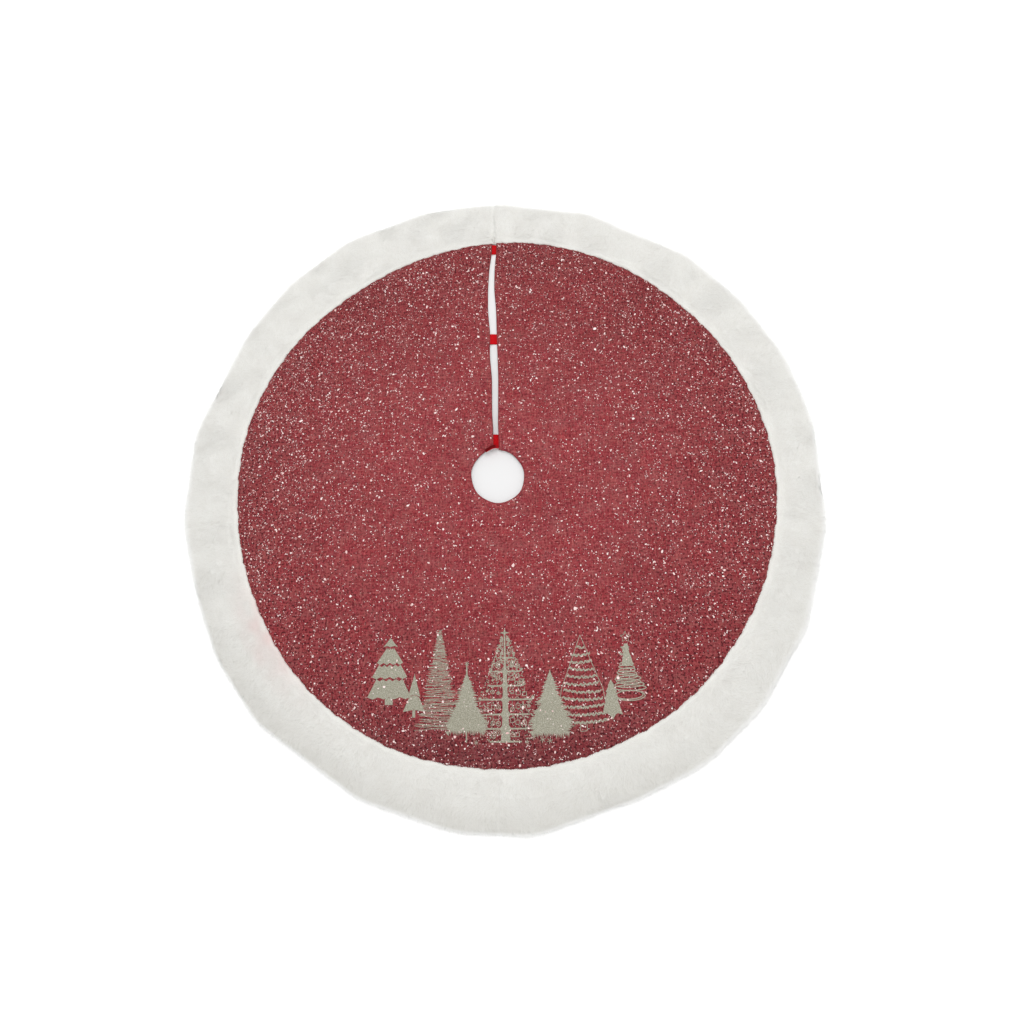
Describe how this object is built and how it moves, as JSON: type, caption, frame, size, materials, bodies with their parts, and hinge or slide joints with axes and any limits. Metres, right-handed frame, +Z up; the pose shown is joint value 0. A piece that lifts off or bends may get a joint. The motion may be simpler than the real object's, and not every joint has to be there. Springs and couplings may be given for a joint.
{
  "type": "tree skirt",
  "caption": "Round padded tree skirt with a centre trunk hole, a straight slit closed by hook-and-loop tabs, and a wide plush fur border.",
  "frame": {"origin": "on the floor, under the axis of the trunk hole", "axes": "+Z up; +Y from the trunk hole along the slit to the back hem; -Y towards the front, where the printed trees are"},
  "size_m": [1.1958, 1.224, 0.018],
  "materials": {
    "face_fabric": "coarse heathered red linen-look weave with raised white flecks and a sage metallic print",
    "plush_fur": "short off-white plush pile",
    "lining_fabric": "matt off-white non-woven",
    "interlining": "white needled wadding",
    "loop_tape": "bright red brushed loop tape",
    "hook_tape": "red hook tape",
    "label_satin": "plain white satin, blank"
  },
  "bodies": {
    "left_half": {"face_panel_left": "face_fabric", "interlining_left": "interlining", "lining_left": "lining_fabric", "fur_back_left": "plush_fur", "fur_front_left": "plush_fur", "care_label": "label_satin"},
    "right_half": {"face_panel_right": "face_fabric", "interlining_right": "interlining", "lining_right": "lining_fabric", "fur_back_right": "plush_fur", "fur_front_right": "plush_fur", "closure_patch_outer": "hook_tape", "closure_patch_middle": "hook_tape", "closure_patch_inner": "hook_tape"},
    "tab_outer": {"closure_tab_outer": "loop_tape"},
    "tab_middle": {"closure_tab_middle": "loop_tape"},
    "tab_inner": {"closure_tab_inner": "loop_tape"}
  },
  "joints": [
    {"name": "fold_over", "type": "hinge", "parent": "left_half", "child": "right_half", "pos_m": [0, 0, 0.019], "axis": [0, -1, 0], "range_deg": [0, 180]},
    {"name": "tab_outer_peel", "type": "hinge", "parent": "left_half", "child": "tab_outer", "pos_m": [-0.026, 0.496, 0.0014], "axis": [0, 1, 0], "range_deg": [0, 150]},
    {"name": "tab_middle_peel", "type": "hinge", "parent": "left_half", "child": "tab_middle", "pos_m": [-0.026, 0.2875, 0.0014], "axis": [0, 1, 0], "range_deg": [0, 150]},
    {"name": "tab_inner_peel", "type": "hinge", "parent": "left_half", "child": "tab_inner", "pos_m": [-0.026, 0.0725, 0.0014], "axis": [0, 1, 0], "range_deg": [0, 150]}
  ]
}
